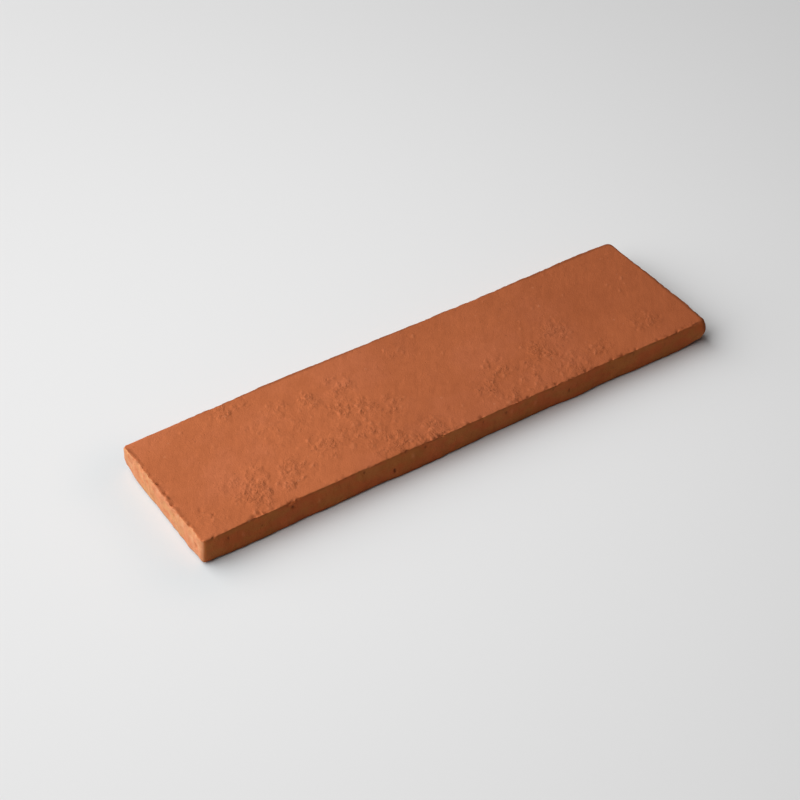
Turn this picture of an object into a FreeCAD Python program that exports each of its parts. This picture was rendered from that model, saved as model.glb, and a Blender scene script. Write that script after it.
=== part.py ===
"""A slim hand-moulded terracotta tile, fired in one piece.

Frame: millimetres, +Z up, origin at the centre of the bed face, which is the underside.
+X runs along the tile's length and +Y across its width.
"""

import FreeCAD
import Part
import os

import Sketcher

# alias, value, what it sets
DIMENSIONS = [
    ("tile_length", 300.0, "mm, overall length"),
    ("tile_width", 80.0, "mm, overall width"),
    ("tile_thickness", 15.0, "mm, bed face to wear face"),
    ("corner_radius", 2.5, "mm, rounding of the four upright corners"),
    ("wear_arris_radius", 0.6, "mm, rounding around the wear face"),
    ("bed_arris_radius", 1.4, "mm, rounding around the bed face"),
]

# Sketcher's numbers for a line's two ends and for the sketch's own origin
START_POINT = 1
END_POINT = 2
SKETCH_ORIGIN = (-1, 1)

# mm: the outline is drawn as a square this size before its constraints resize it
FIRST_SIZE = 20.0

# mm: heights closer than this are the same
SAME_HEIGHT = 1e-4


def add_dimension_sheet(doc):
    """Write the driving dimensions into a spreadsheet, one alias to a row."""
    sheet = doc.addObject("Spreadsheet::Sheet", "Dimensions")
    for row, (alias, value, note) in enumerate(DIMENSIONS, start=1):
        sheet.set(f"A{row}", alias)
        sheet.set(f"B{row}", str(value))
        sheet.set(f"C{row}", note)
        sheet.setAlias(f"B{row}", alias)
    doc.recompute()
    return sheet


def origin_feature(body, role):
    """Return the origin plane or axis of a body that has this role."""
    return next(feature for feature in body.Origin.OriginFeatures if feature.Role == role)


def add_outline(body):
    """Sketch the tile's sharp outline on the bed face, centred on the origin."""
    sketch = body.newObject("Sketcher::SketchObject", "Outline")
    sketch.AttachmentSupport = [(origin_feature(body, "XY_Plane"), "")]
    sketch.MapMode = "FlatFace"

    corners = [(-1, -1), (1, -1), (1, 1), (-1, 1)]
    points = [FreeCAD.Vector(x * FIRST_SIZE / 2, y * FIRST_SIZE / 2, 0) for x, y in corners]
    sides = [Part.LineSegment(here, there) for here, there in zip(points, points[1:] + points[:1])]
    front, right, back, left = sketch.addGeometry(sides)

    def constrain(kind, *arguments):
        return sketch.addConstraint(Sketcher.Constraint(kind, *arguments))

    for side, following in [(front, right), (right, back), (back, left), (left, front)]:
        constrain("Coincident", side, END_POINT, following, START_POINT)
    for side in (front, back):
        constrain("Horizontal", side)
    for side in (right, left):
        constrain("Vertical", side)
    constrain("Symmetric", front, START_POINT, back, START_POINT, *SKETCH_ORIGIN)
    across_x = constrain("DistanceX", front, START_POINT, front, END_POINT, FIRST_SIZE)
    across_y = constrain("DistanceY", right, START_POINT, right, END_POINT, FIRST_SIZE)
    sketch.setExpression(f"Constraints[{across_x}]", "Dimensions.tile_length")
    sketch.setExpression(f"Constraints[{across_y}]", "Dimensions.tile_width")
    return sketch


def add_slab(body, outline):
    """Pad the outline up from the bed face to the wear face."""
    slab = body.newObject("PartDesign::Pad", "Slab")
    slab.Profile = outline
    slab.setExpression("Length", "Dimensions.tile_thickness")
    body.Document.recompute()
    return slab


def edges_between(shape, lowest, highest):
    """Name the edges of a shape that start at one height and end at another."""
    return [
        f"Edge{number}"
        for number, edge in enumerate(shape.Edges, start=1)
        if abs(edge.BoundBox.ZMin - lowest) < SAME_HEIGHT
        and abs(edge.BoundBox.ZMax - highest) < SAME_HEIGHT
    ]


def add_rounding(body, name, base, edges, radius):
    """Round the named edges of the base feature by a radius from the sheet."""
    fillet = body.newObject("PartDesign::Fillet", name)
    fillet.Base = (base, edges)
    fillet.setExpression("Radius", f"Dimensions.{radius}")
    body.Document.recompute()
    return fillet


def add_tile(doc, sheet):
    """Build the tile: a plain slab, its upright corners rounded first and then its two arrises."""
    body = doc.addObject("PartDesign::Body", "Tile")
    body.Label = "terracotta_tile"
    top = sheet.tile_thickness
    slab = add_slab(body, add_outline(body))

    upright = edges_between(slab.Shape, 0, top)
    corners = add_rounding(body, "UprightCorners", slab, upright, "corner_radius")
    around_wear_face = edges_between(corners.Shape, top, top)
    wear_arris = add_rounding(body, "WearArris", corners, around_wear_face, "wear_arris_radius")
    around_bed_face = edges_between(wear_arris.Shape, 0, 0)
    add_rounding(body, "BedArris", wear_arris, around_bed_face, "bed_arris_radius")
    return body


def check_document(doc, pieces):
    """Stop if a feature failed to recompute or a piece isn't one sound solid."""
    failed = [item.Name for item in doc.Objects if {"Invalid", "Error"} & set(item.State)]
    if failed:
        raise RuntimeError(f"failed features: {', '.join(failed)}")
    for piece in pieces:
        if piece.Shape.isNull() or not piece.Shape.isValid() or len(piece.Shape.Solids) != 1:
            raise RuntimeError(f"{piece.Label} is not one valid solid")


def main():
    doc = FreeCAD.newDocument("TerracottaTile")
    pieces = [add_tile(doc, add_dimension_sheet(doc))]
    doc.recompute()
    check_document(doc, pieces)
    os.makedirs("parts", exist_ok=True)
    for piece in pieces:
        piece.Shape.exportStep(f"parts/{piece.Label}.step")


main()
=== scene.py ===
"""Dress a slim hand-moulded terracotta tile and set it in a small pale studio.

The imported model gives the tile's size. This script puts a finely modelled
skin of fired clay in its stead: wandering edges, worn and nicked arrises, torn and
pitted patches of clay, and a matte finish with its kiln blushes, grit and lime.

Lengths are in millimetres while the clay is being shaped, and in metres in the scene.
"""

import logging
import math
import random
from dataclasses import dataclass, field
from enum import Enum
from typing import Iterator, Union

import bmesh
import bpy
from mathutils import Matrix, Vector, noise
from mathutils.kdtree import KDTree


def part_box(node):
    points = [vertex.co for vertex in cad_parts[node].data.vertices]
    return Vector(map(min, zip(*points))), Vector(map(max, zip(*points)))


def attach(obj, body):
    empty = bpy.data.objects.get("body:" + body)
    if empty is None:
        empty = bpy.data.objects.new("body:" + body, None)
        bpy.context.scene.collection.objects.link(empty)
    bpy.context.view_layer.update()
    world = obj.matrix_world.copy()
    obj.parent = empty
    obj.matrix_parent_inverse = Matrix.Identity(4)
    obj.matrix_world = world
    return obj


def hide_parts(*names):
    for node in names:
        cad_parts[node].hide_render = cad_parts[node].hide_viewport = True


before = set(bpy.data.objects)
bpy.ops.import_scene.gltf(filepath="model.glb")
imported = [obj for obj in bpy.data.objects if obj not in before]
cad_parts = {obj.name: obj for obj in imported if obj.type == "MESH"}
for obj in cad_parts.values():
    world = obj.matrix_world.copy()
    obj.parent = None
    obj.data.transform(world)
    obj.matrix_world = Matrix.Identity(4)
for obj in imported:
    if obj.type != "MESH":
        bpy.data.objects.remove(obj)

LOG = logging.getLogger("terracotta_tile")

MM = 0.001
TINY = 1e-6
# Brings the raw noise to between about -1 and 1.
FULL_SWING = 1.3
UP = Vector((0.0, 0.0, 1.0))


def smooth_step(low: float, high: float, value: float) -> float:
    """Ease a value from 0 at low to 1 at high."""
    t = min(max((value - low) / (high - low), 0.0), 1.0)
    return t * t * (3.0 - 2.0 * t)


def mix(first: float, second: float, share: float) -> float:
    """Blend two numbers, with share 1 giving the second."""
    return first + (second - first) * share


@dataclass(frozen=True)
class Swell:
    """Smooth noise on the clay, between about minus and plus its height.

    The size is the width of its larger swells, the octaves are the finer layers that ride
    on them, and the seed moves to another stretch of the noise.
    """

    height: float
    size: float
    octaves: int = 2
    seed: float = 0.0

    def at(self, point: Vector) -> float:
        """Return the height of the noise at a point."""
        place = point / self.size + Vector((self.seed, self.seed * 1.7, self.seed * 0.3))
        raw = noise.fractal(place, 1.0, 2.0, self.octaves, noise_basis="PERLIN_ORIGINAL")
        return self.height * FULL_SWING * raw


@dataclass(frozen=True)
class Ramp:
    """A stretch over which something eases in or out."""

    low: float
    high: float

    def rise(self, value: float) -> float:
        """Return 0 up to the low end and 1 from the high end."""
        return smooth_step(self.low, self.high, value)

    def fall(self, value: float) -> float:
        """Return 1 up to the low end and 0 from the high end."""
        return 1.0 - self.rise(value)


Clay = bmesh.types.BMesh
Span = tuple[float, float]
Knots = tuple[Span, ...]


def follow(knots: Knots, place: float) -> float:
    """Read, at a place, the value that eases from each listed place to the next."""
    for (start, first), (end, second) in zip(knots, knots[1:]):
        if place <= end:
            return mix(first, second, smooth_step(start, end, place))
    return knots[-1][1]


class Side(Enum):
    """A side of the tile, named as it lies before the viewer."""

    FRONT = (0, -1)
    BACK = (0, 1)
    LEFT = (-1, 0)
    RIGHT = (1, 0)

    def share(self, outward: Vector) -> float:
        """Return how squarely a level direction faces this side, from 0 to 1."""
        return max(outward.x * self.value[0] + outward.y * self.value[1], 0.0)

    def along(self, point: Vector) -> float:
        """Return how far along this side a point lies."""
        return point.x if self in (Side.FRONT, Side.BACK) else point.y


@dataclass(frozen=True)
class Box:
    """The tile's overall box, with its bed face on the ground and centred on the origin."""

    length: float
    width: float
    thickness: float

    @classmethod
    def of_node(cls, node: str) -> "Box":
        """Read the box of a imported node, in millimetres."""
        low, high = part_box(node)
        size = (high - low) / MM
        return cls(size.x, size.y, size.z)

    @property
    def half(self) -> Vector:
        """Return half the plan size."""
        return Vector((self.length / 2, self.width / 2))


# How high a corner's foot reaches, as a share of the thickness.
FOOT_RISE = Ramp(0.0, 0.6)
# How a torn patch fades, in its own reaches.
PATCH_EDGE = Ramp(0.0, 1.5)


@dataclass(frozen=True)
class Corner:
    """An upright corner of the tile: its plan radius, its arrises' radii, and its lean.

    The bulge stands out at half height, and the foot is drawn in at the ground.
    """

    plan: float
    wear: float
    bed: float
    bulge: float = 0.0
    foot: float = 0.0

    def lean(self, height: float, thickness: float) -> float:
        """Return how far the corner stands out at a height."""
        belly = math.sin(math.pi * height / thickness)
        return self.bulge * belly - self.foot * FOOT_RISE.fall(height / thickness)


@dataclass(frozen=True)
class Patch:
    """A patch of wear face where the clay tore as it was struck off."""

    x: float
    y: float
    reach: float
    strength: float

    def mask(self, point: Vector) -> float:
        """Return how torn the clay is at a point, from 0 to the patch's strength."""
        away = math.hypot(point.x - self.x, point.y - self.y) / self.reach
        return self.strength * PATCH_EDGE.fall(away)


@dataclass(frozen=True)
class Mark:
    """A pit, chip or crumb: its place, how far under the wear face, and its size.

    A stretched mark is that many times longer than wide, along the drag of the strike,
    or upright on a side. A negative depth stands proud.
    """

    x: float
    y: float
    width: float
    depth: float
    stretch: float = 1.0
    under: float = 0.0


CORNERS = {
    (Side.LEFT, Side.BACK): Corner(plan=2.2, wear=1.0, bed=4.5, bulge=0.3, foot=0.6),
    (Side.LEFT, Side.FRONT): Corner(plan=2.2, wear=1.1, bed=2.6, bulge=0.5, foot=0.2),
    (Side.RIGHT, Side.BACK): Corner(plan=3.6, wear=1.2, bed=3.0),
    (Side.RIGHT, Side.FRONT): Corner(plan=2.4, wear=1.2, bed=3.4, bulge=1.9, foot=1.3),
}

# The radius of each arris of the wear face.
WEAR_ARRISES = {Side.FRONT: 0.28, Side.BACK: 0.6, Side.LEFT: 0.35, Side.RIGHT: 0.9}

# How deeply each arris of the wear face has crumbled.
CRUMBLY = {Side.FRONT: 1.1, Side.BACK: 0.25, Side.LEFT: 0.75, Side.RIGHT: 0.3}

# How much painted shade darkens each rim of the far sides.
SHADED_RIMS = {Side.BACK: 0.8, Side.RIGHT: 1.3}

# How far each side bows out, by the place along it.
BOWS: dict[Side, Knots] = {
    Side.BACK: (
        (-150, -1.0), (-135, -0.95), (-110, -0.45), (-84, 0.25), (-67, 0.85), (-24, 0.5),
        (12, 0.0), (58, -0.1), (100, 0.65), (121, 1.3), (150, 0.8),
    ),
    Side.FRONT: (
        (-150, 0.2), (-141, 0.15), (-125, -0.5), (-114, 0.1), (-105, 0.1), (-92, -0.3),
        (-36, -0.2), (-16, 0.3), (0, 0.35), (20, 0.15), (35, 0.4), (57, 0.5), (84, 0.2),
        (109, 0.7), (136, 0.8), (150, 0.5),
    ),
    Side.LEFT: (
        (-40, 0.4), (-30, 0.1), (-20, 0.6), (-12, 1.0), (0, 0.9), (8, 0.5), (18, 0.2), (40, 0.3),
    ),
    Side.RIGHT: ((-40, 0.6), (-15, 0.8), (6, 0.8), (17, 0.0), (40, -0.1)),
}

# How much further a side stands out at the ground.
FEET: dict[Side, Knots] = {
    Side.FRONT: (
        (-150, 0.4), (-141, 0.4), (-125, 1.2), (-108, 0.4), (-97, 0.1), (-80, 0.6), (-63, 0.5),
        (-52, 0.2), (-35, 0.8), (-22, 0.3), (-10, -0.4), (20, -0.8), (35, -1.1), (50, -1.1),
        (69, -0.1), (83, -0.5), (120, -0.4), (150, -0.2),
    ),
    Side.LEFT: (
        (-40, 0.0), (-28, 0.1), (-18, -0.5), (-8, -0.9), (2, -0.9), (12, -0.4), (20, 0.0),
        (40, 0.0),
    ),
}

# How much darker the wear face is painted along the tile: kiln smoke and painted light falloff.
SMOKE_AND_FALLOFF: Knots = (
    (-150, 0.02), (-65, 0.2), (-12, 0.6), (40, 0.65), (90, 0.78), (118, 0.95), (150, 1.0),
)

TORN_PATCHES = tuple(
    Patch(*patch)
    for patch in (
        (-97, 34, 7, 1.3), (-84, 33, 5, 0.5), (-72, 22, 6, 0.8), (-57, 18, 7, 1.2),
        (-39, 20, 9, 1.2), (-50, 9, 6, 0.7), (-47, 5, 8, 1.3), (-37, -2, 8, 0.9),
        (-25, -9, 9, 0.8), (-67, -14, 10, 0.9), (-88, -22, 10, 0.8), (-111, -25, 13, 1.2),
        (-97, -26, 8, 0.9), (-118, -15, 9, 0.6), (-105, -10, 7, 0.7), (-138, -28, 10, 0.4),
        (-48, -18, 14, 0.7), (-38, -31, 14, 0.9), (-18, -36, 12, 1.3), (-80, 8, 20, 0.35),
        (-1, 27, 5, 0.7), (23, -22, 8, 0.9), (35, -12, 8, 0.9), (30, -35, 9, 0.7),
        (47, -26, 12, 0.7), (62, -15, 11, 0.9), (77, -5, 10, 0.7), (70, -31, 12, 0.8),
        (90, -30, 10, 0.5), (122, -24, 9, 0.7),
    )
)

MARKS = tuple(
    Mark(*mark)
    for mark in (
        # Chips and lips of the front arris.
        (-121.5, -39.3, 4.4, 0.95, 1.3), (-118.0, -37.6, 3.0, 0.60, 1.4),
        (-115.5, -39.6, 3.4, 0.75), (-119.6, -36.6, 2.6, -0.35, 1.6), (-113.0, -38.0, 2.4, -0.30),
        (-71.0, -39.8, 3.0, 0.55), (-67.5, -39.2, 2.0, -0.22), (-63.0, -39.9, 2.4, 0.45),
        (-47.0, -39.9, 2.6, 0.50), (-36.0, -39.8, 2.6, 0.45), (-29.0, -39.4, 3.0, 0.65),
        (-22.5, -39.4, 3.4, 0.80), (-18.0, -38.2, 2.2, -0.28), (-15.5, -39.6, 2.6, 0.60),
        (-10.0, -39.0, 2.4, 0.40), (-5.0, -39.9, 2.6, 0.50), (19.5, -39.4, 2.8, 0.55),
        (26.0, -38.2, 4.2, -0.30), (31.5, -39.3, 3.2, 0.70), (37.0, -39.8, 2.4, 0.45),
        (74.0, -39.8, 2.8, 0.45), (92.0, -39.9, 2.4, 0.35),
        # Dents and crumbs of the left arris.
        (-149.5, 24.0, 3.6, 0.40), (-149.6, 13.0, 3.2, 0.45), (-148.8, 5.0, 2.4, 0.75, 1.2),
        (-148.3, -1.3, 2.4, 0.75, 1.5), (-149.9, -5.5, 3.4, -0.45), (-149.6, -10.5, 3.0, 0.50),
        (-149.9, -15.0, 3.4, -0.40), (-149.4, -20.0, 2.8, 0.55), (-149.9, -25.0, 3.2, -0.35),
        (-149.6, -31.0, 3.0, 0.45),
        # Pits and crumbs of the wear face.
        (-99.5, 39.6, 2.2, 0.20), (132.0, -25.0, 1.8, 0.22, 4.0), (124.0, -23.5, 1.8, 0.14, 1.4),
        (118.0, -25.0, 1.6, 0.10, 1.5), (67.5, -33.5, 1.8, 0.22, 3.2),
        (76.0, -29.0, 1.8, 0.16, 3.0), (38.5, -29.0, 2.0, 0.24, 1.8),
        (-55.7, -22.5, 4.6, -0.16, 1.8), (-51.0, 9.5, 2.4, 0.26, 2.0),
        (-25.5, -10.0, 2.0, 0.24, 2.2), (-20.5, -11.5, 1.8, -0.16, 2.4),
        (-105.5, -12.0, 1.8, 0.18), (-91.5, -21.5, 1.8, 0.22, 1.3), (-96.5, -28.0, 1.8, 0.20, 1.4),
        (-74.0, -12.5, 1.8, 0.20, 1.5), (-100.7, 4.0, 1.4, -0.14), (-95.7, -9.6, 1.4, -0.12),
        (26.0, -0.2, 1.4, 0.16), (20.0, -1.5, 1.2, 0.10), (33.5, 14.0, 1.8, -0.14),
        (-142.0, 34.5, 1.8, 0.12),
        # Pits and lumps of the left end and the front side.
        (-150.0, -34.1, 3.0, 0.80, 1.3, 7.4), (-150.0, 12.0, 6.5, -0.40, 1.2, 8.0),
        (-150.0, -12.0, 6.0, -0.40, 1.0, 8.5), (-136.0, -40.0, 2.2, 0.45, 1.8, 5.0),
        (-128.0, -40.0, 3.0, -0.20, 1.5, 7.0), (-117.8, -40.0, 2.4, 0.40, 1.0, 6.4),
        (-109.0, -40.0, 1.8, 0.20, 1.6, 10.5), (-100.5, -40.0, 2.2, 0.90, 1.1, 3.4),
        (-86.0, -40.0, 2.6, -0.20, 1.8, 7.0), (-60.8, -40.0, 2.2, 0.45, 1.5, 2.6),
        (-43.6, -40.0, 2.8, 0.85, 1.4, 9.6), (-33.0, -40.0, 3.2, -0.25, 1.8, 5.0),
        (-25.0, -40.0, 2.6, 0.40, 1.3, 2.8), (-10.0, -40.0, 3.4, 0.22, 1.6, 9.0),
        (9.0, -40.0, 2.2, 0.45, 1.3, 3.6), (23.0, -40.0, 2.6, 0.40, 1.5, 4.0),
        (27.0, -40.0, 2.2, -0.25, 1.5, 4.6), (41.0, -40.0, 3.0, -0.22, 2.0, 6.0),
        (52.2, -40.0, 2.0, 0.42, 1.4, 2.2), (63.0, -40.0, 2.2, 0.50, 2.0, 7.6),
        (85.0, -40.0, 3.2, 0.24, 1.6, 8.5), (103.0, -40.0, 2.2, 0.35, 1.4, 2.4),
        (124.0, -40.0, 3.4, 0.24, 1.6, 5.0),
    )
)


@dataclass(frozen=True)
class Scatter:
    """How many small crumbs, chips and pits are scattered, and the spans of their sizes."""

    seed: int = 7
    crumbs: int = 900
    stray: float = 0.05
    proud: float = 0.48
    crumb_inset: Span = (1.0, 0.6)
    crumb_width: Span = (1.1, 2.0)
    crumb_steepness: Span = (0.07, 0.21)
    crumb_stretch: Span = (1.0, 2.2)
    chips: int = 110
    chip_inset: Span = (0.0, 0.6)
    chip_width: Span = (1.6, 2.6)
    chip_depth: Span = (0.25, 0.65)
    end_margin: float = 2.0
    rim_margin: float = 3.0
    hidden_pits: int = 16
    pit_width: Span = (1.6, 3.0)
    pit_under: Span = (2.0, 11.0)
    pit_depth: Span = (0.15, 0.7)
    pit_stretch: float = 1.3
    end_pit_depth: Span = (0.15, 0.6)
    end_pit_reach: float = 0.9
    end_pit_chance: float = 0.25


@dataclass
class TerracottaTile:
    """One tile: a slab with rounded corners, shaped and worn by hand.

    Sizes are in millimetres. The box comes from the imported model.
    """

    node: str = "terracotta_tile"
    slot: str = "fired_clay"
    # The block's cells.
    coarse_cell: float = 3.33
    fine_cuts: int = 4
    fine_rim: float = 7.0
    # Its arrises and corners.
    bed_arris: float = 1.4
    least_arris: float = 0.15
    near_corner: Ramp = Ramp(2.0, 16.0)
    wear_uneven: Swell = Swell(0.6, 9.0, 3, 3.1)
    bed_uneven: Swell = Swell(0.5, 40.0, 2, 8.4)
    # How its sides and faces warp.
    pliant_rim: Ramp = Ramp(0.0, 12.0)
    run_squash: float = 0.6
    sway: Swell = Swell(0.14, 17.0, 2, 5.9)
    ripple: Swell = Swell(0.12, 4.5, 2, 2.2)
    ripple_rim: Ramp = Ramp(0.0, 2.0)
    end_rubble: Swell = Swell(1.0, 7.0, 3, 14.2)
    end_rubble_strength: Span = (0.2, 0.7)
    face_swell: Swell = Swell(0.22, 48.0, 2, 4.4)
    face_dimple: Swell = Swell(0.07, 13.0, 2, 9.1)
    lip_height: float = 0.26
    lip_uneven: Swell = Swell(0.9, 7.0, 2, 13.3)
    lip_rim: Ramp = Ramp(0.6, 1.9)
    # How its wear face is struck off and torn.
    drag_turn: float = math.radians(57.0)
    tear_share: float = 0.70
    tear_ragged: Swell = Swell(1.3, 4.5, 3, 6.6)
    tear: Swell = Swell(0.13, 2.2, 3, 7.7)
    tear_length: float = 2.4
    tear_crumb: Swell = Swell(0.12, 1.5, 1, 2.9)
    comb: Swell = Swell(0.040, 2.4, 2, 11.2)
    comb_length: float = 5.0
    drift: Swell = Swell(0.050, 8.0, 2, 23.4)
    drift_length: float = 2.0
    upward: Ramp = Ramp(0.5, 0.95)
    side_skin: Swell = Swell(0.06, 3.0, 2, 17.5)
    side_stretch: float = 2.5
    side_top: float = 1.0
    nick: Swell = Swell(1.0, 2.6, 3, 12.9)
    nick_floor: float = 0.1
    nick_rim: Ramp = Ramp(0.4, 1.6)
    # How marks look.
    mark_size: float = 1.6
    mark_ragged: float = 0.3
    mark_edge: Ramp = Ramp(0.2, 1.0)
    # A pit this deep or deeper gets its full painted shade.
    pit_shade_depth: float = 0.6
    # A crumb this proud or prouder gets its full painted highlight.
    highlight_height: float = 0.3
    # Where smoke and painted falloff, dust and painted light, and painted shade sit.
    top_face: Ramp = Ramp(0.45, 0.85)
    end_face: Ramp = Ramp(0.45, 0.80)
    smoke_and_falloff_lean: Span = (0.65, -0.4)
    smoke_and_falloff_turn: Ramp = Ramp(20.0, 100.0)
    smoke_and_falloff_drift: Swell = Swell(12.0, 50.0, 2, 21.0)
    painted_shade_uneven: Swell = Swell(1.0, 7.0, 3, 23.0)
    groove_in: Ramp = Ramp(0.5, 1.3)
    groove_out: Ramp = Ramp(1.6, 3.0)
    hem: Ramp = Ramp(0.5, 1.5)
    rim_shade: Ramp = Ramp(0.2, 1.7)
    rim_shade_height: Ramp = Ramp(3.0, 9.0)
    ground_shade: float = 0.9
    # Edges sharper than this stay crisp.
    crisp: float = math.radians(38.0)
    scatter: Scatter = Scatter()
    box: Box = field(init=False)

    def __post_init__(self) -> None:
        """Read the tile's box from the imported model."""
        self.box = Box.of_node(self.node)

    def build(self) -> bpy.types.Object:
        """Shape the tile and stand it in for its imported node."""
        clay = self.blank()
        self.mould(clay)
        self.warp(clay)
        self.strike(clay)
        self.mark(clay)
        self.stain(clay)
        piece = self.fire(clay)
        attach(piece, "root")
        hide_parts(self.node)
        return piece

    def blank(self) -> Clay:
        """Cut a sharp block into even cells, small wherever the tile can be seen.

        Returns:
            The block as a bmesh, in millimetres.
        """
        clay = bmesh.new()
        bmesh.ops.create_cube(clay, size=1.0)
        size = Vector((self.box.length, self.box.width, self.box.thickness))
        bmesh.ops.scale(clay, vec=size, verts=clay.verts)
        bmesh.ops.translate(clay, vec=(0.0, 0.0, self.box.thickness / 2), verts=clay.verts)
        for axis in range(3):
            cuts = round(size[axis] / self.coarse_cell) - 1
            along = [edge for edge in clay.edges if self.runs_along(edge, axis)]
            bmesh.ops.subdivide_edges(clay, edges=along, cuts=cuts, use_grid_fill=True)
        seen = [edge for edge in clay.edges if self.is_seen(edge)]
        bmesh.ops.subdivide_edges(clay, edges=seen, cuts=self.fine_cuts, use_grid_fill=True)
        return clay

    @staticmethod
    def runs_along(edge: bmesh.types.BMEdge, axis: int) -> bool:
        """Tell whether an edge of the block runs along an axis."""
        start, end = (vert.co for vert in edge.verts)
        return abs(end[axis] - start[axis]) > TINY

    def is_seen(self, edge: bmesh.types.BMEdge) -> bool:
        """Tell whether an edge is off the bed face, or close enough to its rim to be rounded."""
        half = self.box.half
        for vert in edge.verts:
            inset = min(half.x - abs(vert.co.x), half.y - abs(vert.co.y))
            if vert.co.z < TINY and inset > self.fine_rim:
                return False
        return True

    @staticmethod
    def corner(point: Vector) -> Corner:
        """Return the upright corner that a point is nearest to."""
        end = Side.RIGHT if point.x > 0.0 else Side.LEFT
        face = Side.BACK if point.y > 0.0 else Side.FRONT
        return CORNERS[end, face]

    def corner_share(self, point: Vector) -> float:
        """Return how near a point is to an upright corner, from 0 to 1."""
        half = self.box.half
        return self.near_corner.fall(math.hypot(half.x - abs(point.x), half.y - abs(point.y)))

    def rim(self, point: Vector) -> tuple[float, Vector]:
        """Measure how far a point lies inside the outline.

        Args:
            point: A point whose corner squares are already drawn in to quarter rounds.

        Returns:
            Its distance inside the outline, and the outward direction there.
        """
        half, radius = self.box.half, self.corner(point).plan
        beyond_x = abs(point.x) - (half.x - radius)
        beyond_y = abs(point.y) - (half.y - radius)
        sign = Vector((math.copysign(1.0, point.x), math.copysign(1.0, point.y), 0.0))
        if beyond_x > 0.0 and beyond_y > 0.0:
            reach = math.hypot(beyond_x, beyond_y)
            outward = Vector((beyond_x * sign.x, beyond_y * sign.y, 0.0)) / max(reach, TINY)
            return radius - reach, outward
        if beyond_x > beyond_y:
            return radius - beyond_x, Vector((sign.x, 0.0, 0.0))
        return radius - beyond_y, Vector((0.0, sign.y, 0.0))

    def round_corner(self, point: Vector) -> Vector:
        """Draw each square corner of the plan in to a quarter round."""
        half, radius = self.box.half, self.corner(point).plan
        core = Vector((half.x - radius, half.y - radius))
        beyond = Vector((abs(point.x) - core.x, abs(point.y) - core.y))
        if min(beyond) <= 0.0:
            return point.copy()
        beyond *= max(beyond) / beyond.length
        x = math.copysign(core.x + beyond.x, point.x)
        y = math.copysign(core.y + beyond.y, point.y)
        return Vector((x, y, point.z))

    def arris_radius(self, point: Vector, outward: Vector) -> float:
        """Return the rounding of the nearer arris, which wear has left uneven."""
        corner, share = self.corner(point), self.corner_share(point)
        if point.z > self.box.thickness / 2:
            side = sum(radius * side.share(outward) ** 2 for side, radius in WEAR_ARRISES.items())
            worn = side * (1.0 + self.wear_uneven.at(point))
            return max(mix(worn, corner.wear, share), self.least_arris)
        softened = self.bed_arris * (1.0 + self.bed_uneven.at(point))
        return mix(softened, corner.bed, share)

    def mould(self, clay: Clay) -> None:
        """Round the sharp block's corners and arrises, and let its corners lean."""
        for vert in clay.verts:
            point = self.round_corner(vert.co)
            inset, outward = self.rim(point)
            top_half = point.z > self.box.thickness / 2
            drop = self.box.thickness - point.z if top_half else point.z
            radius = self.arris_radius(point, outward)
            if inset < radius and drop < radius:
                spoke = Vector((radius - inset, radius - drop))
                spoke *= max(spoke) / spoke.length
                point -= outward * (radius - spoke.x - inset)
                drop = radius - spoke.y
                point.z = self.box.thickness - drop if top_half else drop
            lean = self.corner(point).lean(point.z, self.box.thickness)
            vert.co = point + outward * lean * self.corner_share(point)

    def warp(self, clay: Clay) -> None:
        """Let the sides wander and the faces swell, as soft clay does in a wooden mould."""
        for vert in clay.verts:
            point = vert.co
            inset, outward = self.rim(point)
            run = Vector((point.x, point.y, point.z * self.run_squash))
            lift = smooth_step(0.0, self.box.thickness, point.z)
            bow = self.sway.at(run) + self.ripple.at(run) * self.ripple_rim.fall(inset)
            rubble = mix(*self.end_rubble_strength, lift) * self.end_rubble.at(run)
            bow += rubble * Side.LEFT.share(outward)
            for side, knots in BOWS.items():
                bow += follow(knots, side.along(point)) * side.share(outward)
            for side, knots in FEET.items():
                bow += follow(knots, side.along(point)) * side.share(outward) * (1.0 - lift)
            swell = self.face_swell.at(point) + self.face_dimple.at(point)
            swell += self.lip(point, inset) * Side.LEFT.share(outward)
            vert.co = point + outward * bow * self.pliant_rim.fall(inset) + UP * swell * lift

    def lip(self, point: Vector, inset: float) -> float:
        """Return the height of the burr that the mould's end left along an arris."""
        uneven = max(1.0 + self.lip_uneven.at(point), 0.1)
        return self.lip_height * uneven * self.lip_rim.fall(inset)

    def torn(self, point: Vector) -> float:
        """Return how torn the wear face is at a point, from 0 to 1."""
        patch = max(patch.mask(point) for patch in TORN_PATCHES)
        ragged = self.tear_share + self.tear_ragged.at(point)
        return min(max(patch * ragged, 0.0), 1.0)

    @property
    def drag(self) -> Vector:
        """Return the direction in which the wear face was struck off."""
        return Vector((math.cos(self.drag_turn), math.sin(self.drag_turn), 0.0))

    def combed(self, point: Vector, stretch: float) -> Vector:
        """Squeeze a place along the drag, so that noise read there is drawn out along it."""
        return point - self.drag * (point.dot(self.drag) * (1.0 - 1.0 / stretch))

    def strike(self, clay: Clay) -> None:
        """Comb and tear the struck wear face and crumble its arrises."""
        clay.normal_update()
        ragged = clay.verts.layers.float.new("torn")
        for vert in clay.verts:
            point = vert.co.copy()
            inset, outward = self.rim(point)
            below = self.box.thickness - point.z
            upward = self.upward.rise(vert.normal.z)
            torn = self.torn(point)
            vert[ragged] = torn * upward
            relief = self.comb.at(self.combed(point, self.comb_length))
            relief += self.drift.at(self.combed(point, self.drift_length))
            relief += torn * self.tear.at(self.combed(point, self.tear_length))
            relief += torn * self.tear_crumb.at(point)
            relief *= upward
            if below > self.side_top:
                upright = Vector((point.x, point.y, point.z / self.side_stretch))
                relief += self.side_skin.at(upright)
            near_top = self.nick_rim.fall(below + max(inset, 0.0))
            nick = max(self.nick.at(point) - self.nick_floor, 0.0)
            crumbly = sum(share * side.share(outward) ** 2 for side, share in CRUMBLY.items())
            relief -= near_top * crumbly * nick
            vert.co = point + vert.normal * relief

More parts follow.
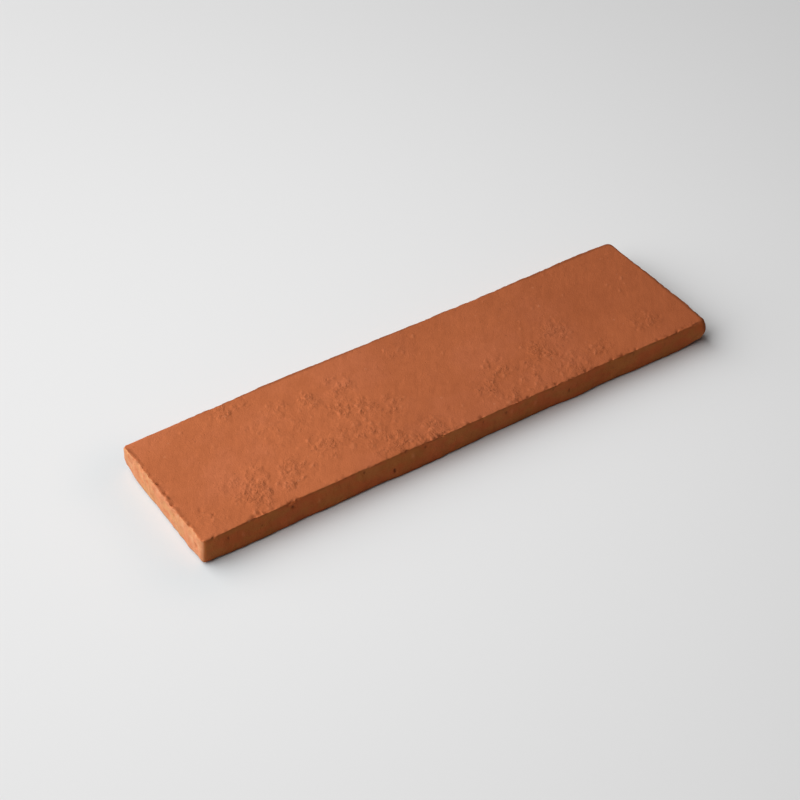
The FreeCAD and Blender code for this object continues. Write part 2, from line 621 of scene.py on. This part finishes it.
    def marks(self) -> Iterator[Mark]:
        """List every given mark, and then the small ones that are scattered at random."""
        yield from MARKS
        rng = random.Random(self.scatter.seed)
        yield from self.crumbs(rng)
        yield from self.chips(rng)
        yield from self.hidden_pits(rng)

    def crumbs(self, rng: random.Random) -> Iterator[Mark]:
        """Scatter small pits and crumbs over the torn patches, and a few between them."""
        scatter, half = self.scatter, self.box.half
        made = 0
        while made < scatter.crumbs:
            x = rng.uniform(-1.0, 1.0) * (half.x - scatter.crumb_inset[0])
            y = rng.uniform(-1.0, 1.0) * (half.y - scatter.crumb_inset[1])
            torn = self.torn(Vector((x, y, self.box.thickness)))
            if rng.random() > mix(scatter.stray, 1.0, torn):
                continue
            made += 1
            width = mix(*scatter.crumb_width, rng.random() ** 2)
            depth = width * rng.uniform(*scatter.crumb_steepness)
            if rng.random() < scatter.proud:
                depth = -depth
            yield Mark(x, y, width, depth, rng.uniform(*scatter.crumb_stretch))

    def chips(self, rng: random.Random) -> Iterator[Mark]:
        """Scatter small chips along the front arris, larger where the clay beside it is torn."""
        scatter, half = self.scatter, self.box.half
        for _ in range(scatter.chips):
            x = rng.uniform(-1.0, 1.0) * (half.x - scatter.end_margin)
            beside = Vector((x, scatter.rim_margin - half.y, self.box.thickness))
            rough = mix(0.3, 1.0, self.torn(beside))
            width = rng.uniform(*scatter.chip_width) * (0.7 + 0.5 * rough)
            y = rng.uniform(*scatter.chip_inset) - half.y
            yield Mark(x, y, width, rng.uniform(*scatter.chip_depth) * rough)

    def hidden_pits(self, rng: random.Random) -> Iterator[Mark]:
        """Scatter pits over the back side and the right end."""
        scatter, half = self.scatter, self.box.half
        for _ in range(scatter.hidden_pits):
            x = rng.uniform(-1.0, 1.0) * half.x
            width, under = rng.uniform(*scatter.pit_width), rng.uniform(*scatter.pit_under)
            depth = rng.uniform(*scatter.pit_depth)
            yield Mark(x, half.y, width, depth, scatter.pit_stretch, under)
            y = rng.uniform(-scatter.end_pit_reach, scatter.end_pit_reach) * half.y
            if rng.random() < scatter.end_pit_chance:
                depth = rng.uniform(*scatter.end_pit_depth)
                yield Mark(half.x, y, width, depth, scatter.pit_stretch, under)

    def mark(self, clay: Clay) -> None:
        """Press the marks into the clay, and raise its crumbs."""
        clay.normal_update()
        scar_and_pit_shade = clay.verts.layers.float.new("scar_and_pit_shade")
        crest_and_highlight = clay.verts.layers.float.new("crest_and_highlight")
        clay.verts.ensure_lookup_table()
        tree = KDTree(len(clay.verts))
        for vert in clay.verts:
            tree.insert(vert.co, vert.index)
        tree.balance()
        for mark in self.marks():
            centre, _, _ = tree.find((mark.x, mark.y, self.box.thickness - mark.under))
            grain = UP if mark.under else self.drag
            radius = mark.width / 2
            uneven = Swell(self.mark_ragged, self.mark_size, 2, mark.width)
            reach = radius * mark.stretch * (1.0 + self.mark_ragged)
            for place, index, _ in tree.find_range(centre, reach):
                offset = place - centre
                along = offset.dot(grain)
                across = (offset - grain * along).length
                ragged = radius * (1.0 + uneven.at(place))
                share = self.mark_edge.fall(math.hypot(along / mark.stretch, across) / ragged)
                vert = clay.verts[index]
                vert.co -= vert.normal * mark.depth * share
                if mark.depth > 0.0:
                    # Pits get painted shade, darker the deeper they are.
                    strength = min(mark.depth / self.pit_shade_depth, 1.0)
                    vert[scar_and_pit_shade] = max(vert[scar_and_pit_shade], share * strength)
                else:
                    # Proud crumbs get a painted highlight, which also reads as rubbed wear.
                    strength = min(-mark.depth / self.highlight_height, 1.0)
                    vert[crest_and_highlight] = max(vert[crest_and_highlight], share * strength)

    def stain(self, clay: Clay) -> None:
        """Record smoke and painted falloff, dust and painted light, and the painted shade."""
        clay.normal_update()
        layers = clay.verts.layers.float
        names = ("smoke_and_falloff", "side_shade", "dust_and_light", "painted_shade")
        smoke_and_falloff, side_shade, dust_and_light, painted_shade = (layers.new(name) for name in names)
        for vert in clay.verts:
            point, facing = vert.co, vert.normal
            top = self.top_face.rise(facing.z)
            # The top is painted darker towards the right end: kiln smoke and painted light
            # falloff.
            lean = mix(*self.smoke_and_falloff_lean, self.smoke_and_falloff_turn.rise(point.x))
            place = point.x - lean * point.y + self.smoke_and_falloff_drift.at(point)
            vert[smoke_and_falloff] = follow(SMOKE_AND_FALLOFF, place) * top
            # The lit left end is painted paler: pale dust and painted light.
            vert[dust_and_light] = self.end_face.rise(-facing.x)
            # The sides, but for the left end, are painted darker: painted shade with a mottled
            # tint.
            vert[side_shade] = (1.0 - top) * (1.0 - vert[dust_and_light])
            # Painted shade: in the end's groove, under the front arris, on the far rims, at the
            # ground.
            vert[painted_shade] = self.painted_shade(point, top)

    def painted_shade(self, point: Vector, top: float) -> float:
        """Return how much painted shade sits at a point, from 0 to 1.

        Args:
            point: A point on the clay.
            top: How squarely the clay faces up there, from 0 to 1.

        Returns:
            The most of the painted shadows in the left end's groove and the front arris's hem,
            the painted shade on the far rims and the painted contact shadow at the ground.
        """
        inset, outward = self.rim(point)
        uneven = self.painted_shade_uneven.at(point)
        groove = self.groove_in.rise(inset) * self.groove_out.fall(inset) * top
        hem = self.hem.fall(self.box.thickness - point.z) * (1.0 - top)
        rims = sum(share * side.share(outward) for side, share in SHADED_RIMS.items())
        ground = Ramp(0.3, 2.4 + 1.2 * uneven).fall(point.z) * (1.0 - top)
        shades = (
            groove * Side.LEFT.share(outward) * (0.15 + 0.7 * uneven),
            hem * Side.FRONT.share(outward) * (0.5 + 0.6 * uneven),
            rims * self.rim_shade.fall(inset) * self.rim_shade_height.rise(point.z),
            ground * self.ground_shade,
        )
        return min(max(*shades, 0.0), 1.0)

    def fire(self, clay: Clay) -> bpy.types.Object:
        """Turn the shaped clay into a smooth-shaded piece in metres.

        Args:
            clay: The finished block, in millimetres. It is freed.

        Returns:
            The piece, on the scene and dressed.
        """
        for vert in clay.verts:
            vert.co.z = max(vert.co.z, 0.0)
        bmesh.ops.scale(clay, vec=(MM, MM, MM), verts=clay.verts)
        many_sided = [face for face in clay.faces if len(face.verts) > 4]
        bmesh.ops.triangulate(clay, faces=many_sided)
        for face in clay.faces:
            face.smooth = True
        for edge in clay.edges:
            edge.smooth = edge.calc_face_angle(0.0) < self.crisp
        mesh = bpy.data.meshes.new("tile_skin")
        clay.to_mesh(mesh)
        clay.free()
        piece = bpy.data.objects.new("tile_skin", mesh)
        bpy.context.scene.collection.objects.link(piece)
        mesh.materials.append(FiredClay().material())
        return piece


Number = Union["Signal", float]
Colour = tuple[float, float, float]
Socket = bpy.types.NodeSocket
Paint = Union[Colour, Socket]


@dataclass(frozen=True)
class Cloud:
    """Shader noise, read at the place on the object.

    The size is the width of its swells in millimetres, detail counts its finer layers, and
    rough says how strong they are. With a span it eases from 0 at the first value to 1 at
    the second. The share scales the result.
    """

    size: float
    detail: float = 3.0
    rough: float = 0.5
    offset: Colour = (0.0, 0.0, 0.0)
    stretch: Colour = (1.0, 1.0, 1.0)
    span: Span | None = None
    share: float = 1.0


@dataclass(frozen=True)
class Grit:
    """Small round grains or pores scattered through the clay.

    The spacing is in millimetres, and so many of the places stay empty. The edge runs from
    outside to inside, in spacings.
    """

    spacing: float
    empty: float
    share: float
    offset: Colour = (0.0, 0.0, 0.0)
    edge: Span = (0.13, 0.07)
    softness: float = 0.02


class Signal:
    """A shader value on which ordinary arithmetic adds Math nodes."""

    def __init__(self, bench: "Bench", socket: Socket) -> None:
        """Wrap an output socket of a bench's node tree."""
        self.bench = bench
        self.socket = socket

    def math(self, operation: str, *operands: Number) -> "Signal":
        """Add a Math node.

        Args:
            operation: The node's operation.
            *operands: Its inputs in order.

        Returns:
            The node's result.
        """
        inputs = dict(enumerate(operands))
        node = self.bench.node("ShaderNodeMath", {"operation": operation}, inputs)
        return Signal(self.bench, node.outputs[0])

    def __add__(self, other: Number) -> "Signal":
        """Add."""
        return self.math("ADD", self, other)

    __radd__ = __add__

    def __sub__(self, other: Number) -> "Signal":
        """Subtract."""
        return self.math("SUBTRACT", self, other)

    def __mul__(self, other: Number) -> "Signal":
        """Multiply."""
        return self.math("MULTIPLY", self, other)

    def __pow__(self, power: Number) -> "Signal":
        """Raise to a power."""
        return self.math("POWER", self, power)

    def larger(self, other: Number) -> "Signal":
        """Return the larger of two values."""
        return self.math("MAXIMUM", self, other)

    def eased(self, low: float, high: float) -> "Signal":
        """Ease from 0 at low to 1 at high, which may be the smaller number."""
        settings = {"interpolation_type": "SMOOTHSTEP"}
        inputs = {"Value": self, "From Min": low, "From Max": high}
        node = self.bench.node("ShaderNodeMapRange", settings, inputs)
        return Signal(self.bench, node.outputs["Result"])


class Bench:
    """A node tree and the few ways in which this script adds nodes to it."""

    def __init__(self, tree: bpy.types.NodeTree) -> None:
        """Clear the tree and take it over."""
        self.tree = tree
        tree.nodes.clear()

    def node(
        self, kind: str, settings: dict | None = None, inputs: dict | None = None
    ) -> bpy.types.Node:
        """Add a node.

        Args:
            kind: The node's type.
            settings: Its own properties, set before its sockets.
            inputs: Values, sockets or signals by socket name or number.

        Returns:
            The node.
        """
        node = self.tree.nodes.new(kind)
        for name, value in (settings or {}).items():
            setattr(node, name, value)
        for key, value in (inputs or {}).items():
            socket = self.input(node, key)
            source = value.socket if isinstance(value, Signal) else value
            if isinstance(source, Socket):
                self.tree.links.new(source, socket)
            else:
                socket.default_value = source
        return node

    @staticmethod
    def input(node: bpy.types.Node, key: Union[str, int]) -> Socket:
        """Return a node's input by number, or its enabled input by name."""
        if isinstance(key, int):
            return node.inputs[key]
        return next(socket for socket in node.inputs if socket.name == key and socket.enabled)

    def place(
        self, stretch: Colour = (1.0, 1.0, 1.0), offset: Colour = (0.0, 0.0, 0.0)
    ) -> Socket:
        """Give the place on the object in millimetres.

        Args:
            stretch: How much to squeeze the pattern along each axis.
            offset: Moves to another stretch of the pattern.

        Returns:
            The vector socket.
        """
        where = self.node("ShaderNodeTexCoord").outputs["Object"]
        scale = tuple(part / MM for part in stretch)
        inputs = {"Vector": where, "Location": offset, "Scale": scale}
        return self.node("ShaderNodeMapping", {}, inputs).outputs["Vector"]

    def cloud(self, cloud: Cloud) -> Signal:
        """Add cloudy noise."""
        inputs = {
            "Vector": self.place(cloud.stretch, cloud.offset),
            "Scale": 1.0 / cloud.size,
            "Detail": cloud.detail,
            "Roughness": cloud.rough,
        }
        node = self.node("ShaderNodeTexNoise", {"noise_dimensions": "3D"}, inputs)
        value = Signal(self, node.outputs[0])
        if cloud.span:
            value = value.eased(*cloud.span)
        return value * cloud.share

    def grit(self, grit: Grit) -> Signal:
        """Add scattered grains, as a mask that is at its full share on them."""
        where = self.place(offset=grit.offset)
        inputs = {"Vector": where, "Scale": 1.0 / grit.spacing}
        node = self.node("ShaderNodeTexVoronoi", {"feature": "F1"}, inputs)
        split = self.node("ShaderNodeSeparateColor", {}, {"Color": node.outputs["Color"]})
        near, draw = Signal(self, node.outputs["Distance"]), Signal(self, split.outputs[0])
        kept = draw.eased(grit.empty, grit.empty + grit.softness)
        return near.eased(*grit.edge) * kept * grit.share

    def painted(self, name: str) -> Signal:
        """Read a value that the shaping left on the mesh."""
        node = self.node("ShaderNodeAttribute", {"attribute_name": name})
        return Signal(self, node.outputs["Fac"])

    def blend(self, share: Number, first: Paint, second: Paint, how: str = "MIX") -> Socket:
        """Blend two colours.

        Args:
            share: How much of the second shows.
            first: A colour, or a colour socket.
            second: A colour, or a colour socket.
            how: The blend type.

        Returns:
            The blended colour's socket.
        """
        settings = {"data_type": "RGBA", "blend_type": how}
        inputs = {"Factor": share, "A": self.opaque(first), "B": self.opaque(second)}
        node = self.node("ShaderNodeMix", settings, inputs)
        return next(socket for socket in node.outputs if socket.enabled)

    @staticmethod
    def opaque(colour: Paint) -> Union[tuple, Socket]:
        """Give a plain colour its alpha."""
        return colour if isinstance(colour, Socket) else (*colour, 1.0)


@dataclass(frozen=True)
class FiredClay:
    """Matte unglazed terracotta, from its broad kiln blushes down to its grit."""

    body: Colour = (0.540, 0.1555, 0.0565)
    dark: Colour = (0.416, 0.112, 0.038)
    pink: Colour = (0.573, 0.172, 0.075)
    # Darkens the top towards the right end: kiln smoke and painted light falloff.
    smoke_and_falloff_tint: Colour = (0.712, 0.664, 0.641)
    # Multiply the sides darker: painted shade, mottled between red and olive.
    ruddy_side_shade: Colour = (0.840, 0.680, 0.500)
    olive_side_shade: Colour = (0.760, 0.810, 0.540)
    # The lit left end's paler colours: pale dust and painted light.
    dusty_and_lit: Colour = (0.580, 0.266, 0.115)
    rosy_and_lit: Colour = (0.605, 0.233, 0.110)
    # Proud crumbs painted paler: rubbed wear and painted highlight.
    rubbed_and_highlight: Colour = (0.660, 0.230, 0.105)
    chalky: Colour = (0.640, 0.330, 0.175)
    # Dark specks and streaks, and painted shade in pits.
    speck_and_pit_shade: Colour = (0.300, 0.075, 0.024)
    # Painted shade, for the sides' pits, the groove, the hem, the far rims and the ground line.
    painted_shade_colour: Colour = (0.150, 0.040, 0.012)
    lime: Colour = (0.690, 0.330, 0.180)
    iron: Colour = (0.190, 0.055, 0.024)
    blush: Cloud = Cloud(55.0, span=(0.42, 0.64), share=0.30)
    flash: Cloud = Cloud(34.0, 4.0, 0.55, offset=(31.0, 7.0, 3.0), span=(0.45, 0.70), share=0.45)
    mottle: Cloud = Cloud(7.0, 5.0, 0.6, span=(0.35, 0.75), share=0.30)
    speckle: Cloud = Cloud(0.9, 3.0, 0.6, span=(0.50, 0.80), share=0.34)
    streak: Cloud = Cloud(2.2, 3.0, 0.6, stretch=(1.0, 1.0, 0.45), span=(0.50, 0.78), share=0.35)
    patchy: Cloud = Cloud(
        9.0, 5.0, 0.62, offset=(5.0, 3.0, 1.0), stretch=(0.55, 0.55, 1.0), span=(0.40, 0.60)
    )
    chalk: Cloud = Cloud(4.2, 4.0, 0.62, offset=(2.0, 8.0, 5.0), span=(0.52, 0.72), share=0.7)
    bare: Cloud = Cloud(4.2, 4.0, 0.62, offset=(2.0, 8.0, 5.0), span=(0.46, 0.30), share=0.6)
    lime_grit: Grit = Grit(6.5, 0.85, 0.15)
    iron_grit: Grit = Grit(5.0, 0.80, 0.4, offset=(9.0, 4.0, 2.0))
    crest_highlight_share: float = 0.25
    pit_shade_span: Span = (0.20, 0.95)
    pit_shade_share: float = 0.30
    side_pit_shade_span: Span = (0.15, 0.80)
    side_pit_shade_share: float = 0.75
    painted_shade_share: float = 0.6
    roughness: float = 0.88
    rub: Cloud = Cloud(12.0)
    rub_depth: float = 0.16
    specular: float = 0.12
    skin: Cloud = Cloud(2.4, 4.0, 0.6, share=0.20)
    grain: Cloud = Cloud(0.6, 2.0, share=0.11)
    crumb: Cloud = Cloud(1.0, 3.0, 0.65, share=0.80)
    scar_crumb: float = 0.6
    pores: Grit = Grit(2.2, 0.80, 0.14, edge=(0.20, 0.06), softness=0.08)

    def material(self) -> bpy.types.Material:
        """Build the finish."""
        material = bpy.data.materials.new("fired_clay")
        material.use_nodes = True
        bench = Bench(material.node_tree)
        inputs = {
            "Base Color": self.colour(bench),
            "Roughness": self.sheen(bench),
            "Normal": self.relief(bench),
            "Specular IOR Level": self.specular,
        }
        shader = bench.node("ShaderNodeBsdfPrincipled", {}, inputs)
        bench.node("ShaderNodeOutputMaterial", {}, {"Surface": shader.outputs["BSDF"]})
        return material

    def colour(self, bench: Bench) -> Socket:
        """Lay the clay's colours, painted shade and highlights among them, over each other."""
        side_shade, scar_and_pit_shade = bench.painted("side_shade"), bench.painted("scar_and_pit_shade")
        patchy = bench.cloud(self.patchy)
        colour = bench.blend(bench.cloud(self.blush), self.body, self.dark)
        colour = bench.blend(bench.cloud(self.flash), colour, self.pink)
        colour = bench.blend(bench.cloud(self.mottle), colour, self.dark)
        # Darker towards the right end: kiln smoke and painted light falloff.
        colour = bench.blend(bench.painted("smoke_and_falloff"), colour, self.smoke_and_falloff_tint, "MULTIPLY")
        # Painted shade on the sides, mottled between red and olive.
        side = bench.blend(patchy, self.ruddy_side_shade, self.olive_side_shade)
        colour = bench.blend(side_shade, colour, side, "MULTIPLY")
        colour = bench.blend(side_shade * bench.cloud(self.streak), colour, self.speck_and_pit_shade)
        # The lit left end painted paler: pale dust and painted light.
        dusted_and_lit = bench.blend(patchy, self.dusty_and_lit, self.rosy_and_lit)
        dusted_and_lit = bench.blend(bench.cloud(self.chalk), dusted_and_lit, self.chalky)
        dusted_and_lit = bench.blend(bench.cloud(self.bare), dusted_and_lit, self.body)
        colour = bench.blend(bench.painted("dust_and_light"), colour, dusted_and_lit)
        colour = bench.blend(bench.cloud(self.speckle), colour, self.speck_and_pit_shade)
        # Painted highlight on proud crumbs, which also reads as rubbed wear.
        colour = bench.blend(bench.painted("crest_and_highlight") * self.crest_highlight_share, colour, self.rubbed_and_highlight)
        # Painted shade in the pits.
        pit_shade = scar_and_pit_shade.eased(*self.pit_shade_span) * self.pit_shade_share
        colour = bench.blend(pit_shade, colour, self.speck_and_pit_shade)
        # Darker painted shade in the pits of the sides.
        side_pit_shade = scar_and_pit_shade.eased(*self.side_pit_shade_span) * self.side_pit_shade_share
        colour = bench.blend(side_shade * side_pit_shade, colour, self.painted_shade_colour)
        # Painted shade in the groove, under the front arris, on the far rims and at the ground.
        colour = bench.blend(bench.painted("painted_shade") * self.painted_shade_share, colour, self.painted_shade_colour)
        colour = bench.blend(bench.grit(self.lime_grit), colour, self.lime)
        return bench.blend(bench.grit(self.iron_grit), colour, self.iron)

    def sheen(self, bench: Bench) -> Signal:
        """Vary the roughness a little."""
        return self.roughness + (bench.cloud(self.rub) - 0.5) * self.rub_depth

    def relief(self, bench: Bench) -> Socket:
        """Raise the fine relief that the mesh is too coarse for."""
        torn = bench.painted("torn").larger(bench.painted("scar_and_pit_shade") * self.scar_crumb)
        height = bench.cloud(self.skin) + bench.cloud(self.grain)
        height = height + bench.cloud(self.crumb) * torn - bench.grit(self.pores)
        inputs = {"Height": height, "Distance": MM, "Strength": 1.0}
        return bench.node("ShaderNodeBump", {}, inputs).outputs["Normal"]


@dataclass(frozen=True)
class Studio:
    """A pale floor, one broad soft lamp behind the tile's left end, and the camera.

    Lengths are in metres and angles in degrees.
    """

    paper: Colour = (0.80, 0.80, 0.80)
    far_paper: Colour = (0.70, 0.70, 0.70)
    # Painted shade on the floor beside the lit end, against its bounced light.
    end_shade_tint: Colour = (0.84, 0.90, 0.925)
    end_at: float = 0.15
    end_half: float = 0.03
    end_shade_reach: float = 0.062
    end_falloff: float = 2.5
    # Painted light falloff: the floor darkens away from the tile.
    painted_falloff: Span = (0.05, 0.55)
    fade: Span = (0.55, 1.05)
    floor_radius: float = 4.0
    floor_sides: int = 96
    lamp_wide: float = 4.6
    lamp_tall: float = 3.6
    lamp_away: float = 2.3
    lamp_turn: float = -120.0
    lamp_height: float = 42.0
    lamp_power: float = 129.5
    sky: float = 0.06
    lens: float = 90.25
    sensor: float = 36.0
    camera_turn: float = -33.23
    camera_height: float = 41.15
    camera_away: float = 1.0253
    aim: Colour = (-0.0091, 0.0077, 0.0)

    @staticmethod
    def direction(turn: float, height: float) -> Vector:
        """Point from the tile at a turn from the front and a height above the floor.

        Args:
            turn: Degrees from straight in front, growing to the right.
            height: Degrees above the floor.

        Returns:
            The unit direction.
        """
        a, e = math.radians(turn), math.radians(height)
        return Vector((math.sin(a) * math.cos(e), -math.cos(a) * math.cos(e), math.sin(e)))

    def build(self) -> None:
        """Set up everything that isn't part of the tile."""
        self.lay_floor()
        self.hang_lamp()
        self.light_surround()
        self.stand_camera()
        bpy.context.scene.view_settings.view_transform = "Standard"

    def lay_floor(self) -> None:
        """Lay the pale floor, which melts into the surround far from the tile."""
        disc = bmesh.new()
        bmesh.ops.create_circle(
            disc, cap_ends=True, segments=self.floor_sides, radius=self.floor_radius
        )
        mesh = bpy.data.meshes.new("floor")
        disc.to_mesh(mesh)
        disc.free()
        floor = bpy.data.objects.new("floor", mesh)
        bpy.context.scene.collection.objects.link(floor)
        mesh.materials.append(self.paper_material())

    def paper_material(self) -> bpy.types.Material:
        """Make the floor's paper, with painted falloff and painted shade beside the lit end."""
        material = bpy.data.materials.new("pale_paper")
        material.use_nodes = True
        bench = Bench(material.node_tree)
        where = bench.node("ShaderNodeTexCoord").outputs["Object"]
        length = bench.node("ShaderNodeVectorMath", {"operation": "LENGTH"}, {0: where})
        away = Signal(bench, length.outputs["Value"])
        # Painted light falloff away from the tile.
        tone = bench.blend(away.eased(*self.painted_falloff), self.paper, self.far_paper)
        # Painted shade beside the lit end.
        tone = bench.blend(self.shade_beside_end(bench, where), tone, self.end_shade_tint, "MULTIPLY")
        paper = bench.node("ShaderNodeBsdfDiffuse", {}, {"Color": tone})
        surround = {"Color": (*self.far_paper, 1.0), "Strength": 1.0}
        glow = bench.node("ShaderNodeEmission", {}, surround)
        inputs = {0: away.eased(*self.fade), 1: paper.outputs[0], 2: glow.outputs[0]}
        shade = bench.node("ShaderNodeMixShader", {}, inputs)
        bench.node("ShaderNodeOutputMaterial", {}, {"Surface": shade.outputs[0]})
        return material

    def shade_beside_end(self, bench: Bench, where: Socket) -> Signal:
        """Mark where painted shade darkens the floor beside the tile's brightly lit end.

        Args:
            bench: Where the nodes go.
            where: The place on the floor, in metres.

        Returns:
            A mask that is 1 against the end and fades out around it.
        """
        split = bench.node("ShaderNodeSeparateXYZ", {}, {"Vector": where})
        x, y = Signal(bench, split.outputs["X"]), Signal(bench, split.outputs["Y"])
        past = (y.math("ABSOLUTE", y) - self.end_half).larger(0.0)
        beside = x + self.end_at
        away = (past * past + beside * beside) ** 0.5
        return away.eased(self.end_shade_reach, 0.0) ** self.end_falloff

    def hang_lamp(self) -> None:
        """Hang the broad soft lamp."""
        light = bpy.data.lights.new("soft_lamp", "AREA")
        light.shape = "ELLIPSE"
        light.size = self.lamp_wide
        light.size_y = self.lamp_tall
        light.energy = self.lamp_power
        lamp = bpy.data.objects.new("soft_lamp", light)
        toward = self.direction(self.lamp_turn, self.lamp_height)
        lamp.location = toward * self.lamp_away
        lamp.rotation_euler = toward.to_track_quat("Z", "Y").to_euler()
        lamp.visible_camera = False
        bpy.context.scene.collection.objects.link(lamp)

    def light_surround(self) -> None:
        """Light the surround: pale to the camera, dim to everything else."""
        world = bpy.data.worlds.new("surround")
        world.use_nodes = True
        bpy.context.scene.world = world
        bench = Bench(world.node_tree)
        path = bench.node("ShaderNodeLightPath").outputs
        looking = Signal(bench, path["Is Camera Ray"]).larger(Signal(bench, path["Is Glossy Ray"]))
        strength = looking * (1.0 - self.sky) + self.sky
        inputs = {"Color": (*self.far_paper, 1.0), "Strength": strength}
        background = bench.node("ShaderNodeBackground", {}, inputs)
        bench.node("ShaderNodeOutputWorld", {}, {"Surface": background.outputs[0]})

    def stand_camera(self) -> None:
        """Stand the camera in front of the tile's left end, looking down on it."""
        lens = bpy.data.cameras.new("camera")
        lens.lens = self.lens
        lens.sensor_width = self.sensor
        camera = bpy.data.objects.new("camera", lens)
        toward = self.direction(self.camera_turn, self.camera_height)
        camera.location = Vector(self.aim) + toward * self.camera_away
        camera.rotation_euler = toward.to_track_quat("Z", "Y").to_euler()
        bpy.context.scene.collection.objects.link(camera)
        bpy.context.scene.camera = camera


def main() -> None:
    """Build the tile and its studio, and log the tile's face count."""
    logging.basicConfig(level=logging.INFO, format="%(name)s: %(message)s")
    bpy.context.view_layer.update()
    piece = TerracottaTile().build()
    LOG.info("%s has %d faces", piece.name, len(piece.data.polygons))
    Studio().build()


if __name__ == "__main__":
    main()
